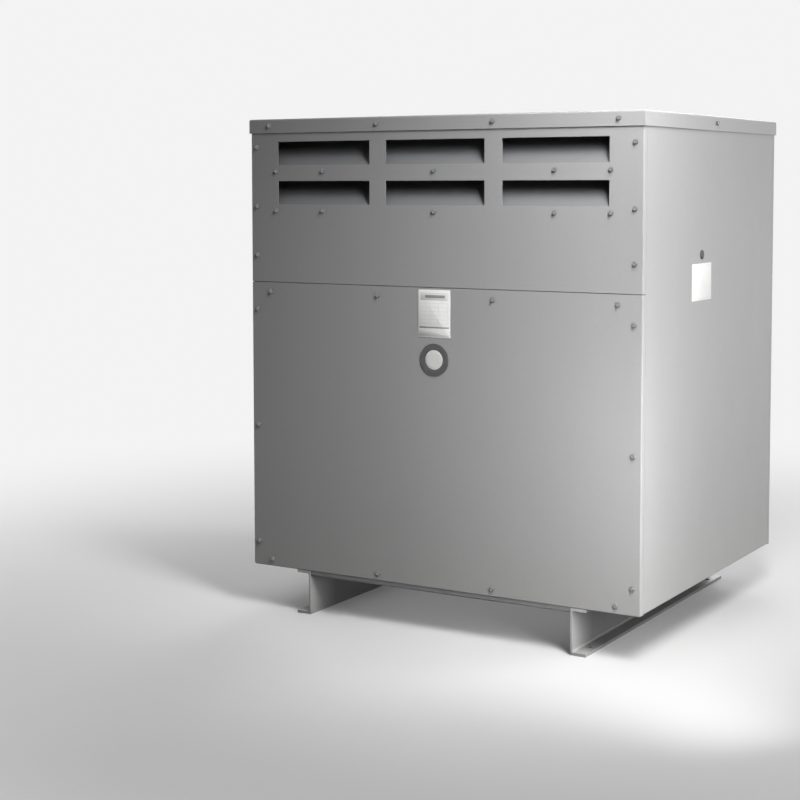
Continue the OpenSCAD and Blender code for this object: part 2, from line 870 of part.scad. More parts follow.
// Rods that draw the upper clamps down on the coils, each with a nut at both ends
module tie_rods() {
    low = window_z - clamp_back - clamp_t;
    high = upper_clamp_z + clamp_t;
    color(plated) front_and_rear() left_and_right() translate([-tie_x, clamp_mid_y, 0]) {
        translate([0, 0, low - tie_nut_h - tie_tail])
            cylinder(h = high - low + 2 * (tie_nut_h + tie_tail), d = tie_rod_d);
        for (z = [low - tie_nut_h, high]) translate([0, 0, z]) difference() {
            hexagon(1.5 * tie_rod_d, tie_nut_h);
            translate([0, 0, -eps]) cylinder(h = tie_nut_h + 2 * eps, d = tie_rod_d + 0.1);
        }
    }
}

lug_x = limb_pitch / 2 + 40; // distance of the lifting lugs from the middle
lug_size = 70;
lug_t = 12;
lug_eye_d = 26;

module lifting_lugs() {
    color(clamp_blue) front_and_rear() left_and_right()
        translate([-lug_x, clamp_mid_y, upper_clamp_top]) rotate([90, 0, 0])
            linear_extrude(lug_t, center = true) difference() {
                union() {
                    translate([-lug_size / 2, 0]) square([lug_size, lug_size / 2]);
                    translate([0, lug_size / 2]) circle(d = lug_size);
                }
                translate([0, lug_size / 2]) circle(d = lug_eye_d);
            }
}

// Windings

module winding_tube(outer, inner, r_in, z, h) {
    wall = outer[0] - inner[0];
    translate([0, 0, z]) linear_extrude(h) difference() {
        round_rect(outer, r_in + wall);
        round_rect(inner, r_in);
    }
}

module lv_winding(x) {
    color(varnish) translate([x, 0, 0]) winding_tube(lv_out, lv_in, coil_r, lv_z, lv_h);
}

module hv_winding(x) {
    hv_r = coil_r + lv_wall + duct;
    color(varnish_dark) translate([x, 0, 0]) {
        winding_tube(hv_skin, hv_in, hv_r, hv_z, hv_h);
        winding_tube(hv_out, hv_in, hv_r, hv_z + hv_margin, hv_h - 2 * hv_margin);
    }
}

module lv_winding_a() {
    lv_winding(limb_xs[0]);
}

module lv_winding_b() {
    lv_winding(limb_xs[1]);
}

module lv_winding_c() {
    lv_winding(limb_xs[2]);
}

module hv_winding_a() {
    hv_winding(limb_xs[0]);
}

module hv_winding_b() {
    hv_winding(limb_xs[1]);
}

module hv_winding_c() {
    hv_winding(limb_xs[2]);
}

// Upright sticks that keep the air duct open between the two windings
module duct_sticks() {
    // The outer sticks stand just inside the ends of the winding's flat sides
    spread = [for (v = lv_out) v - coil_r - lv_wall - stick_w / 2 - 5];
    color(board_red) for (x = limb_xs) translate([x, 0, hv_z]) {
        front_and_rear() for (i = [-1, 0, 1])
            translate([i * spread[0] - stick_w / 2, lv_out[1], 0]) cube([stick_w, duct, hv_h]);
        left_and_right() for (i = [-1, 0, 1])
            translate([lv_out[0], i * spread[1] - stick_w / 2, 0]) cube([duct, stick_w, hv_h]);
    }
}

// Stepped blocks that carry both windings on the clamps' flanges, and the same upside down above them
module coil_blocks() {
    step_y = lv_out[1] + duct / 2;
    first_y = clamp_y + clamp_t + 4;
    low = window_z - clamp_back;
    color(board_red) for (x = limb_xs, side = [-1, 1]) translate([x + side * block_x, 0, 0])
        front_and_rear() for (half = [0, 1])
            translate([0, 0, half * (2 * low + window_h + 2 * clamp_back)]) mirror([0, 0, half]) along_x(block_w) {
                translate([first_y, low]) square([clamp_tip_y - first_y, lv_z - low]);
                translate([step_y, low]) square([clamp_tip_y - step_y, hv_z - low]);
            }
}

// Terminals

// A bent bar that lies on the low-voltage winding's top and rises behind the core
module rising_bar(outer_y, rise_z) {
    translate([0, outer_y, lv_top]) mirror([0, 1, 0]) along_x(bar_w)
        angle_section(outer_y - lv_in[1], rise_z - lv_top, bar_t, bar_t + 4);
}

module lv_bus_bars() {
    color(bare_metal) for (x = limb_xs) difference() {
        translate([x - lead_x, 0, 0]) rising_bar(board_y + bar_t, bar_top);
        for (z = lug_zs) translate([x - lead_x, board_y, z]) rotate([90, 0, 0])
            cylinder(h = drill, d = lug_hole_d, center = true);
        translate([x - lead_x, board_y, board_bolt_z]) rotate([90, 0, 0])
            cylinder(h = drill, d = bolt_clear, center = true);
    }
}

module neutral_bar() {
    first_x = -limb_pitch + lead_x - bar_w / 2;
    color(bare_metal) difference() {
        union() {
            for (x = limb_xs) translate([x + lead_x, 0, 0]) rising_bar(neutral_y + bar_t, neutral_z + bar_w);
            translate([first_x, neutral_y, neutral_z]) cube([neutral_end - first_x, bar_t, bar_w]);
        }
        for (i = [0, 1])
            translate([neutral_end - 20 - i * lug_pitch, neutral_y, neutral_z + bar_w / 2]) rotate([90, 0, 0])
                cylinder(h = 3 * bar_t, d = lug_hole_d, center = true);
    }
}

module terminal_board(bolt_xs) {
    difference() {
        translate([-board_w / 2, clamp_tip_y, upper_clamp_z]) cube([board_w, board_t, clamp_h]);
        for (x = bolt_xs) translate([x, board_y, board_bolt_z]) rotate([90, 0, 0])
            cylinder(h = drill, d = bolt_clear, center = true);
    }
}

module lv_terminal_board() {
    color(board_red) terminal_board([for (x = limb_xs) x - lead_x]);
}

module hv_terminal_board() {
    color(board_red) to_rear() terminal_board(limb_xs);
}

// Boards on the high-voltage windings' front faces, with a row of tap studs on each
module hv_tap_boards() {
    color(board_red) for (x = limb_xs)
        translate([x - tap_board_w / 2, -board_y, tap_z]) cube([tap_board_w, board_y - hv_out[1], tap_board_h]);
}

module hv_tap_studs() {
    color(brass_tone) for (x = limb_xs, i = [0:4])
        translate([x, -board_y, tap_z + tap_end + (i + 0.5) * tap_stud_pitch]) rotate([90, 0, 0]) {
            hexagon(tap_nut_flats, tap_nut_h);
            cylinder(h = tap_stud_len, d = tap_stud_d);
        }
}

module hv_leads() {
    overlap = 26; // length of a lead on its tap board
    low = tap_z + tap_board_h - overlap;
    color(copper) for (x = limb_xs) difference() {
        translate([x - lead_w / 2, -board_y - lead_t, low]) cube([lead_w, lead_t, upper_clamp_top - low]);
        translate([x, -board_y, board_bolt_z]) rotate([90, 0, 0])
            cylinder(h = drill, d = bolt_clear, center = true);
    }
}

// Earthing

// The bar stands on two spacers, so that lug bolts pass through it
module ground_bar() {
    color(copper) difference() {
        translate([ground_bar_x - ground_bar_w / 2, ground_bar_y - ground_bar_d / 2, ground_bar_z])
            cube([ground_bar_w, ground_bar_d, bar_t]);
        for (x = ground_bolt_xs) translate([x, ground_bar_y, ground_bar_z])
            cylinder(h = drill, d = bolt_clear, center = true);
        for (x = ground_hole_xs) translate([x, ground_bar_y, ground_bar_z])
            cylinder(h = drill, d = ground_hole_d, center = true);
    }
}

module ground_spacers() {
    color(plated) for (x = ground_bolt_xs) translate([x, ground_bar_y, rail_top]) difference() {
        cylinder(h = spacer_h, d = spacer_d);
        translate([0, 0, -eps]) cylinder(h = spacer_h + 2 * eps, d = bolt_clear);
    }
}

module ground_strap() {
    bar_z = ground_bar_z + bar_t;
    clamp_top_z = clamp_z + clamp_t;
    leave_y = -inner_d + base_rail_d + 6;
    arrive_y = -clamp_tip_y - 5;
    span = arrive_y - leave_y;
    route = [
        [-inner_d + 12, bar_z], [leave_y, bar_z], [leave_y + span * 0.1, bar_z - 0.4 * strap_sag],
        [leave_y + span * 0.5, bar_z - strap_sag], [leave_y + span * 0.85, bar_z - 0.35 * strap_sag],
        [arrive_y, clamp_top_z], [strap_bolt_y + 14, clamp_top_z]
    ];
    upper = [for (i = [len(route) - 1:-1:0]) route[i] + [0, strap_t]];
    color(copper) difference() {
        translate([strap_x, 0, 0]) along_x(strap_w) polygon(concat(route, upper));
        for (place = [[ground_bar_y, bar_z], [strap_bolt_y, clamp_top_z]])
            translate([strap_x, place[0], place[1]]) cylinder(h = drill / 2, d = bolt_clear, center = true);
    }
}

foot_left();
foot_right();
base_rail_front();
base_rail_rear();
post_front_left();
post_front_right();
post_rear_left();
post_rear_right();
top_rail_front();
top_rail_rear();
mid_rail_front();
mid_rail_rear();
front_upper_panel();
front_lower_cover();
rear_upper_panel();
rear_lower_cover();
side_panel_left();
side_panel_right();
top_cover();
baffle_front_upper();
baffle_front_lower();
baffle_rear_upper();
baffle_rear_lower();
panel_screws();
rating_plate();
round_badge();
side_label();
side_plug();
core_beam_front();
core_beam_rear();
isolation_pads();
hex_bolts();
hex_nuts();
core_legs();
core_top_yoke();
clamp_lower_front();
clamp_lower_rear();
clamp_upper_front();
clamp_upper_rear();
clamp_bolts();
tie_rods();
lifting_lugs();
lv_winding_a();
lv_winding_b();
lv_winding_c();
hv_winding_a();
hv_winding_b();
hv_winding_c();
duct_sticks();
coil_blocks();
lv_bus_bars();
neutral_bar();
lv_terminal_board();
hv_leads();
hv_tap_boards();
hv_tap_studs();
hv_terminal_board();
ground_bar();
ground_spacers();
ground_strap();
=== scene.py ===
import json
import math

import bmesh
import bpy
from mathutils import Matrix, Vector


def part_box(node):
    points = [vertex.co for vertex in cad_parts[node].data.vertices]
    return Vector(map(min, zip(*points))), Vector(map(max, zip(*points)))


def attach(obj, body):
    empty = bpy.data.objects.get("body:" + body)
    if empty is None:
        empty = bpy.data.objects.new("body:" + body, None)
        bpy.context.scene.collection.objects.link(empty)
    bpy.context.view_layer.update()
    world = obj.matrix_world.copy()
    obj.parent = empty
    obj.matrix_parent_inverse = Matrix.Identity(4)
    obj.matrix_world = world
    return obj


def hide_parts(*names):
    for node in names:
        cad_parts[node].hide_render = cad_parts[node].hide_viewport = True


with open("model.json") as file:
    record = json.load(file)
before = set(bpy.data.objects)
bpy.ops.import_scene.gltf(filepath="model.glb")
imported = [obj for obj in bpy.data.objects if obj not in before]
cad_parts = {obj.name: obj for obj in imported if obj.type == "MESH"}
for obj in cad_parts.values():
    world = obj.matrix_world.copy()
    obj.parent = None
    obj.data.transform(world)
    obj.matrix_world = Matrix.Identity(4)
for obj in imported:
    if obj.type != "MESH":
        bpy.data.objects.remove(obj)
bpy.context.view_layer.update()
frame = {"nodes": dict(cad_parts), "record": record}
nodes = frame["nodes"]
scene = bpy.context.scene
MM = 0.001


def linear(r, g, b):
    """A colour written as 0-255 screen values, as Blender's linear RGBA."""
    def one(v):
        v /= 255
        return v / 12.92 if v <= 0.04045 else ((v + 0.055) / 1.055) ** 2.4
    return one(r), one(g), one(b), 1.0


def scaled(colour, k):
    """The colour with its brightness times k, at most white."""
    return tuple(min(1.0, c * k) for c in colour[:3]) + (1.0,)


# Materials

class Finish:
    """A principled material whose colour, roughness and bump are built up layer by layer."""

    NO_EDGE, FULL_EDGE = 0.995, 0.90  # cosine between the rounded and the true normal
    OPEN, SHUT = 0.9, 0.35  # ambient light at which a hollow begins and is full

    def __init__(self, name, colour, rough, metal=0.0, **sockets):
        self.mat = bpy.data.materials.new(name)
        self.mat.use_nodes = True
        self.tree = self.mat.node_tree
        self.bsdf = self.tree.nodes["Principled BSDF"]
        self.mat.diffuse_color = colour
        self.colour, self.rough, self.normal = colour, rough, None
        self.bsdf.inputs["Metallic"].default_value = metal
        for socket, value in sockets.items():
            self.bsdf.inputs[socket.replace("_", " ")].default_value = value
        self.place = self.add("ShaderNodeTexCoord").outputs["Object"]

    def add(self, kind, **settings):
        node = self.tree.nodes.new(kind)
        for key, value in settings.items():
            setattr(node, key, value)
        return node

    def put(self, socket, value):
        """Links a socket to the value, or sets it where the value is a constant."""
        if isinstance(value, bpy.types.NodeSocket):
            self.tree.links.new(value, socket)
        else:
            socket.default_value = value

    def stretched(self, stretch):
        if stretch is None:
            return self.place
        node = self.add("ShaderNodeMapping")
        node.inputs["Scale"].default_value = stretch
        self.put(node.inputs["Vector"], self.place)
        return node.outputs["Vector"]

    def noise(self, scale, detail=3.0, rough=0.5, stretch=None):
        node = self.add("ShaderNodeTexNoise")
        node.inputs["Scale"].default_value = scale
        node.inputs["Detail"].default_value = detail
        node.inputs["Roughness"].default_value = rough
        self.put(node.inputs["Vector"], self.stretched(stretch))
        return node.outputs["Fac"]

    def bands(self, scale, axis, distortion=0.0, detail=0.0, profile="SIN"):
        node = self.add("ShaderNodeTexWave", bands_direction=axis, wave_profile=profile)
        node.inputs["Scale"].default_value = scale
        node.inputs["Distortion"].default_value = distortion
        node.inputs["Detail"].default_value = detail
        self.put(node.inputs["Vector"], self.place)
        return node.outputs["Fac"]

    def span(self, value, low, high, to_low=0.0, to_high=1.0):
        """Maps low..high to to_low..to_high and clamps the rest."""
        node = self.add("ShaderNodeMapRange")
        self.put(node.inputs["Value"], value)
        for i, v in enumerate((low, high, to_low, to_high), 1):
            node.inputs[i].default_value = v
        return node.outputs[0]

    def calc(self, operation, a, b=0.0):
        node = self.add("ShaderNodeMath", operation=operation)
        self.put(node.inputs[0], a)
        self.put(node.inputs[1], b)
        return node.outputs[0]

    def along(self, axis):
        node = self.add("ShaderNodeSeparateXYZ")
        self.put(node.inputs[0], self.place)
        return node.outputs[axis]

    def tint(self, amount, colour, blend="MIX"):
        """Lays a colour over what is there, as far as amount says."""
        node = self.add("ShaderNodeMix", data_type="RGBA", blend_type=blend)
        self.put(node.inputs[0], amount)
        self.put(node.inputs[6], self.colour)
        self.put(node.inputs[7], colour)
        self.colour = node.outputs[2]

    def lay(self, mask, strength, colour):
        """Tints as far as the mask times a strength says."""
        self.tint(self.calc("MULTIPLY", mask, strength), colour)

    def vary(self, scale, amount, stretch=None, detail=3.0):
        """Makes the colour wander between darker and lighter by amount."""
        wander = self.noise(scale, detail, stretch=stretch)
        level = self.span(wander, 0.3, 0.7, 1 - amount, 1 + amount)
        node = self.add("ShaderNodeCombineColor")
        for socket in node.inputs[:3]:
            self.put(socket, level)
        self.tint(1.0, node.outputs[0], "MULTIPLY")

    def rough_from(self, value, low, high):
        self.rough = self.span(value, 0.3, 0.7, low, high)

    def round_edges(self, radius):
        node = self.add("ShaderNodeBevel", samples=4)
        node.inputs["Radius"].default_value = radius
        self.normal = node.outputs["Normal"]

    def bump(self, value, distance, strength=1.0):
        node = self.add("ShaderNodeBump")
        node.inputs["Strength"].default_value = strength
        node.inputs["Distance"].default_value = distance
        self.put(node.inputs["Height"], value)
        if self.normal is not None:
            self.put(node.inputs["Normal"], self.normal)
        self.normal = node.outputs["Normal"]

    def edges(self, radius, noise_scale=60):
        """How near a point is to an edge, broken up by noise."""
        round_normal = self.add("ShaderNodeBevel", samples=4)
        round_normal.inputs["Radius"].default_value = radius
        flat = self.add("ShaderNodeNewGeometry")
        dot = self.add("ShaderNodeVectorMath", operation="DOT_PRODUCT")
        self.put(dot.inputs[0], round_normal.outputs["Normal"])
        self.put(dot.inputs[1], flat.outputs["True Normal"])
        near = self.span(dot.outputs["Value"], self.NO_EDGE, self.FULL_EDGE)
        worn = self.span(self.noise(noise_scale, 4, 0.6), 0.48, 0.62)
        return self.calc("MULTIPLY", near, worn)

    def hollows(self, distance):
        """How far a point lies in a corner or under an edge, by ambient occlusion: where shade falls."""
        node = self.add("ShaderNodeAmbientOcclusion", samples=4)
        node.inputs["Distance"].default_value = distance
        return self.span(node.outputs["AO"], self.OPEN, self.SHUT)

    def done(self):
        self.put(self.bsdf.inputs["Base Color"], self.colour)
        self.put(self.bsdf.inputs["Roughness"], self.rough)
        if self.normal is not None:
            self.put(self.bsdf.inputs["Normal"], self.normal)
        return self.mat


DUST = linear(176, 172, 164)
SOILED_PAPER = linear(180, 176, 168)


def painted(name, colour, rough, dust_top=0.0, wear=0.3, primer=linear(120, 121, 122), peel=1.0,
            hollow_shade=0.22, reach=0.03, shade_under=None):
    """Sprayed and baked paint on steel sheet: orange peel, slow colour drift, rubbed edges, painted shade in
    corners.

    Dust gathers below the height dust_top. Painted shade darkens it from the first to the second distance from
    the middle along Y, as deep under the cabinet.
    """
    f = Finish(name, colour, rough)
    f.vary(1.7, 0.020)
    f.vary(9.0, 0.014, stretch=(1, 1, 0.12))
    f.vary(70.0, 0.012)
    # painted shade: corners and recesses darkened as far as ambient occlusion within reach says
    f.lay(f.hollows(reach), hollow_shade, scaled(colour, 0.45 - 0.3 * hollow_shade))
    if dust_top:
        low_down = f.span(f.along("Z"), dust_top, 0.0)
        f.lay(low_down, f.span(f.noise(14, 5, 0.6), 0.35, 0.75, 0.0, 0.55), DUST)
    # painted shade: darker towards the middle along Y, where the feet lie deep under the cabinet
    if shade_under:
        start, full = shade_under
        f.tint(f.span(f.calc("ABSOLUTE", f.along("Y")), start, full, 0.0, 0.75), scaled(colour, 0.14))
    f.lay(f.edges(0.0016), wear, primer)
    scuffs = f.span(f.noise(26, 6, 0.65, stretch=(1, 1, 0.35)), 0.66, 0.74)
    f.lay(scuffs, 0.10, scaled(colour, 1.25))
    f.rough_from(f.noise(5, 5, 0.6), rough - 0.05, rough + 0.07)
    f.round_edges(0.0007)
    f.bump(f.noise(3.1, 2), 0.0035, 0.10)
    f.bump(f.noise(420, 2), 0.00012 * peel, 0.55)
    return f.done()


def plated_metal(name, colour, rough):
    """Zinc-plated steel: mottled and slightly blotched, with painted shade in its hollows."""
    f = Finish(name, colour, rough, metal=0.55)
    f.vary(240, 0.10)
    f.vary(900, 0.06)
    # painted shade in the hollows, by ambient occlusion
    f.lay(f.hollows(0.006), 0.3, scaled(colour, 0.35))
    f.rough_from(f.noise(160, 4), rough - 0.06, rough + 0.12)
    f.round_edges(0.0003)
    f.bump(f.noise(1500, 3), 0.00006, 0.6)
    return f.done()


def laminated(name):
    """Stacked core sheets: fine lines across the stack, varnish stains and thin rust along the cut edges."""
    f = Finish(name, linear(96, 98, 104), 0.45, metal=0.65)
    line = f.bands(180, "Y", 1.2, 1.0, "SAW")
    f.tint(f.span(line, 0.0, 1.0, 0.0, 0.35), linear(58, 58, 62))
    f.vary(6, 0.10)
    rust = f.span(f.noise(18, 6, 0.65), 0.60, 0.74)
    f.lay(rust, 0.45, linear(104, 74, 56))
    f.rough_from(f.noise(30, 4), 0.36, 0.56)
    f.round_edges(0.0006)
    f.bump(line, 0.0003, 0.8)
    f.bump(f.noise(700, 2), 0.0001, 0.4)
    return f.done()


def wound(name, colour, turns, rough):
    """A varnished winding: rows of turns under a glossy resin skin, darker where the resin gathers."""
    f = Finish(name, colour, rough, Coat_Weight=0.6, Coat_Roughness=0.14)
    rows = f.bands(turns, "Z", 0.25, 1.0)
    f.tint(f.span(rows, 0.0, 0.35, 0.55, 0.0), scaled(colour, 0.35))
    f.vary(7, 0.16)
    f.vary(60, 0.10, stretch=(1, 1, 0.3))
    runs = f.span(f.noise(11, 5, 0.6, stretch=(1, 1, 0.15)), 0.56, 0.72)
    f.lay(runs, 0.5, scaled(colour, 0.5))
    f.rough_from(f.noise(24, 4), rough - 0.08, rough + 0.12)
    f.round_edges(0.0015)
    f.bump(rows, 0.0011, 0.8)
    f.bump(f.noise(160, 3), 0.0004, 0.5)
    return f.done()


def board(name, colour):
    """Pressed insulation board: short fibres, lighter rubbed edges, satin varnish."""
    f = Finish(name, colour, 0.5)
    f.vary(5, 0.08)
    fibres = f.noise(90, 5, 0.7, stretch=(0.25, 1, 1))
    f.tint(f.span(fibres, 0.45, 0.75, 0.0, 0.4), scaled(colour, 1.5))
    f.vary(400, 0.06)
    f.lay(f.edges(0.002, 90), 0.5, scaled(colour, 1.7))
    f.rough_from(f.noise(40, 4), 0.40, 0.62)
    f.round_edges(0.0008)
    f.bump(fibres, 0.0003, 0.6)
    return f.done()


def rolled_bar(name, colour, rough, stain, stain_amount):
    """A bare conductor bar: drawn lines along it and oxide stains."""
    f = Finish(name, colour, rough, metal=1.0)
    drawn = f.noise(300, 4, 0.6, stretch=(1, 1, 0.03))
    f.tint(f.span(drawn, 0.3, 0.7, 0.0, 0.25), scaled(colour, 0.7))
    f.vary(14, 0.07)
    blotch = f.span(f.noise(22, 6, 0.65), 0.52, 0.74)
    f.lay(blotch, stain_amount, stain)
    f.rough_from(f.noise(45, 5), rough - 0.06, rough + 0.16)
    f.round_edges(0.0008)
    f.bump(drawn, 0.00012, 0.6)
    return f.done()


def rubber(name, colour, rough):
    """Matt rubber with a little dust in its grain."""
    f = Finish(name, colour, rough)
    f.vary(30, 0.15)
    f.lay(f.span(f.noise(50, 5, 0.6), 0.5, 0.8), 0.25, DUST)
    f.rough_from(f.noise(80, 4), rough - 0.1, rough + 0.1)
    f.round_edges(0.0008)
    f.bump(f.noise(900, 3), 0.0002, 0.5)
    return f.done()


def printed(name, colour, rough, coat=0.2):
    """Label stock: faint paper or foil grain under a clear film, slightly soiled in patches."""
    f = Finish(name, colour, rough, Coat_Weight=coat, Coat_Roughness=0.2)
    f.vary(40, 0.015)
    f.lay(f.span(f.noise(60, 5, 0.6), 0.52, 0.8), 0.12, SOILED_PAPER)
    f.rough_from(f.noise(90, 4), rough - 0.05, rough + 0.08)
    f.round_edges(0.0003)
    f.bump(f.noise(1200, 2), 0.00004, 0.5)
    return f.done()


paint = {
    "cabinet_paint": painted("cabinet_paint", linear(165, 165, 165), 0.40, dust_top=0.30),
    "frame_paint": painted("frame_paint", linear(128, 130, 132), 0.50, dust_top=0.22, wear=0.5),
    # the feet: a lighter base colour under painted shade in their hollows and deep under the cabinet
    "foot_paint": painted("foot_paint", linear(182, 183, 184), 0.46, dust_top=0.16, wear=0.7,
                          primer=linear(86, 84, 82), peel=1.6, hollow_shade=0.8, reach=0.10, shade_under=(0.49, 0.38)),
    "plated_steel": plated_metal("plated_steel", linear(150, 152, 154), 0.34),
    "plate_white": printed("plate_white", linear(240, 240, 238), 0.38),
    "badge_grey": printed("badge_grey", linear(74, 75, 77), 0.34, 0.4),
    "plug_black": rubber("plug_black", linear(48, 48, 49), 0.5),
    "core_steel": laminated("core_steel"),
    "clamp_paint": painted("clamp_paint", linear(84, 92, 106), 0.42, wear=0.8,
                           primer=linear(140, 138, 134), peel=2),
    "winding_varnish": wound("winding_varnish", linear(126, 70, 34), 90, 0.30),
    "insulation_board": board("insulation_board", linear(142, 62, 42)),
    "bus_aluminium": rolled_bar("bus_aluminium", linear(206, 208, 210), 0.30, linear(150, 152, 154), 0.4),
    "copper_bar": rolled_bar("copper_bar", linear(206, 136, 100), 0.28, linear(118, 72, 52), 0.6),
    "brass_stud": rolled_bar("brass_stud", linear(212, 182, 112), 0.26, linear(140, 112, 66), 0.4),
    "pad_rubber": rubber("pad_rubber", linear(34, 34, 35), 0.75),
}
# Nodes whose finish differs from the rest of their slot, by how their names start
special = {
    "lv_winding": wound("winding_varnish_inner", linear(158, 98, 48), 26, 0.34),
    # the baffles: darker than the cabinet paint, as painted shade inside the vents
    "baffle": painted("baffle_shaded_paint", linear(122, 123, 125), 0.44, wear=0.15),
    "top_cover": painted("cover_paint", linear(168, 168, 168), 0.40),
}

for part in frame["record"]["subparts"]:
    finish = paint[part["material_slot"]]
    for start, other in special.items():
        if part["node"].startswith(start):
            finish = other
    mesh = nodes[part["node"]].data
    mesh.materials.clear()
    mesh.materials.append(finish)


# Mesh helpers

def finished(name, bm, materials, slot, *replaced, smooth_angle=35):
    """Turns a bmesh in the frame's metres into a piece that rides on the root body."""
    bmesh.ops.recalc_face_normals(bm, faces=bm.faces)
    mesh = bpy.data.meshes.new(name)
    bm.to_mesh(mesh)
    bm.free()
    obj = bpy.data.objects.new(name, mesh)
    scene.collection.objects.link(obj)
    for material in materials:
        mesh.materials.append(material)
    mesh.shade_smooth()
    mesh.set_sharp_from_angle(angle=math.radians(smooth_angle))
    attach(obj, "root")
    if replaced:
        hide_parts(*replaced)
    return obj


def ring(bm, points):
    return [bm.verts.new(p) for p in points]


def angles(steps):
    return [2 * math.pi * i / steps for i in range(steps)]


def polar(place, r, a, z):
    return place @ Vector((r * math.cos(a), r * math.sin(a), z))


def skin(bm, rings, index=0):
    """Joins rings of equal length into a tube with closed ends."""
    for a, b in zip(rings, rings[1:]):
        n = len(a)
        for i in range(n):
            bm.faces.new((a[i], a[(i + 1) % n], b[(i + 1) % n], b[i])).material_index = index
    for end in rings[0], rings[-1]:
        bm.faces.new(end).material_index = index


def lathe(bm, profile, steps, place, index=0):
    """Turns a profile of (radius, height) about +Z and puts it where place says."""
    skin(bm, [ring(bm, [polar(place, r, a, z) for a in angles(steps)]) for r, z in profile], index)


def hex_radius(flats, a):
    """How far a hexagon of that width across flats reaches at the angle a."""
    return flats / 2 / math.cos((a + math.pi / 6) % (math.pi / 3) - math.pi / 6)


def hex_head(bm, flats, low, high, place, dish):
    """A hexagon with a chamfered top that is dished in the middle."""
    around = angles(36)
    corners = [hex_radius(flats, a) for a in around]
    top_r = flats / 2 * 0.94
    levels = [[(r, low) for r in corners], [(r, high - (r - top_r) * 0.6) for r in corners]]
    for r, z in (top_r, high), (top_r * 0.78, high), (top_r * 0.70, high - dish):
        levels.append([(r, z)] * len(around))
    skin(bm, [ring(bm, [polar(place, r, a, z) for a, (r, z) in zip(around, level)]) for level in levels])


def islands(name):
    """The boxes of a node's separate solids."""
    bm = bmesh.new()
    bm.from_mesh(nodes[name].data)
    bmesh.ops.remove_doubles(bm, verts=bm.verts, dist=1e-5)
    seen, boxes = set(), []
    for start in bm.verts:
        if start in seen:
            continue
        seen.add(start)
        queue, found = [start], []
        while queue:
            v = queue.pop()
            found.append(v.co)
            for e in v.link_edges:
                w = e.other_vert(v)
                if w not in seen:
                    seen.add(w)
                    queue.append(w)
        boxes.append((Vector([min(c[i] for c in found) for i in range(3)]),
                      Vector([max(c[i] for c in found) for i in range(3)])))
    bm.free()
    return boxes


def rounded_outline(w, h, r, steps=6):
    """Points of a rectangle with rounded corners about the origin."""
    points = []
    for cx, cy, start in (1, 1, 0), (-1, 1, 90), (-1, -1, 180), (1, -1, 270):
        for i in range(steps + 1):
            a = math.radians(start + 90 * i / steps)
            points.append((cx * (w / 2 - r) + r * math.cos(a), cy * (h / 2 - r) + r * math.sin(a)))
    return points


def slab(bm, w, h, r, low, high, bevel, place, index=0):
    """A thin plate with rounded corners and a bevelled upper edge, in the place's XY plane."""
    levels = (0, low), (0, high - bevel), (bevel * 0.3, high - bevel * 0.3), (bevel, high)
    rings = []
    for inset, z in levels:
        outline = rounded_outline(w - 2 * inset, h - 2 * inset, max(r - inset, 1e-5))
        rings.append(ring(bm, [place @ Vector((x, y, z)) for x, y in outline]))
    skin(bm, rings, index)


def facing(point, outward):
    """A place whose Z points outward from a wall, with its Y up."""
    z = Vector(outward).normalized()
    x = Vector((0, 0, 1)).cross(z).normalized()
    y = z.cross(x)
    m = Matrix((x, y, z)).transposed().to_4x4()
    m.translation = Vector(point)
    return m


def wall_box(node, axis):
    """The place on a flat node's back face, and the node's width, height and thickness."""
    low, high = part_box(node)
    middle = (low + high) / 2
    side = 1 - axis
    back = low[axis] if middle[axis] > 0 else high[axis]
    middle[axis] = back
    outward = [0, 0, 0]
    outward[axis] = 1 if back > 0 else -1
    return facing(middle, outward), high[side] - low[side], high.z - low.z, high[axis] - low[axis]


# Screws with washer heads, as (radius, height) from under the head, in mm

WASHER_FACE = [(7.0, 0.0), (7.0, 0.45), (6.75, 0.85), (6.2, 1.05), (5.3, 1.2), (4.0, 1.25)]
HEX_FLATS, HEX_LOW, HEX_HIGH, HEX_DISH = 10, 1.1, 4.5, 0.55
THREAD_CORE, THREAD_CREST, THREAD_PITCH, THREAD_TURNS = 2.45, 3.1, 1.8, 7
SCREW_POINT = [(2.3, -13.4), (1.9, -14.4), (0.5, -15.9)]
SCREW_TURN = 2.4  # radians by which each screw stands turned against the one before


def in_metres(profile):
    return [(r * MM, z * MM) for r, z in profile]


def screw(bm, place, turn):
    place = place @ Matrix.Rotation(turn, 4, "Z")
    lathe(bm, in_metres(WASHER_FACE), 28, place)
    hex_head(bm, HEX_FLATS * MM, HEX_LOW * MM, HEX_HIGH * MM, place, HEX_DISH * MM)
    thread = [(THREAD_CREST, 0.0)]
    for i in range(THREAD_TURNS):
        top = -0.6 - i * THREAD_PITCH
        thread += [(THREAD_CORE, top), (THREAD_CORE, top - 0.9),
                   (THREAD_CREST, top - 1.25), (THREAD_CREST, top - 1.4)]
    lathe(bm, in_metres(thread + SCREW_POINT), 14, place)


bm = bmesh.new()
for i, (low, high) in enumerate(sorted(islands("panel_screws"), key=lambda b: tuple(b[0]))):
    middle = (low + high) / 2
    axis = 0 if high.x - low.x > high.y - low.y else 1
    sign = 1 if middle[axis] > 0 else -1
    outward = Vector((sign, 0, 0)) if axis == 0 else Vector((0, sign, 0))
    under_head = middle.copy()
    under_head[axis] = (high if sign > 0 else low)[axis] - sign * HEX_HIGH * MM
    screw(bm, facing(under_head, outward), i * SCREW_TURN)
finished("panel_screws_detail", bm, [paint["plated_steel"]], "plated_steel", "panel_screws")


# Rating plate: ruled fields without words

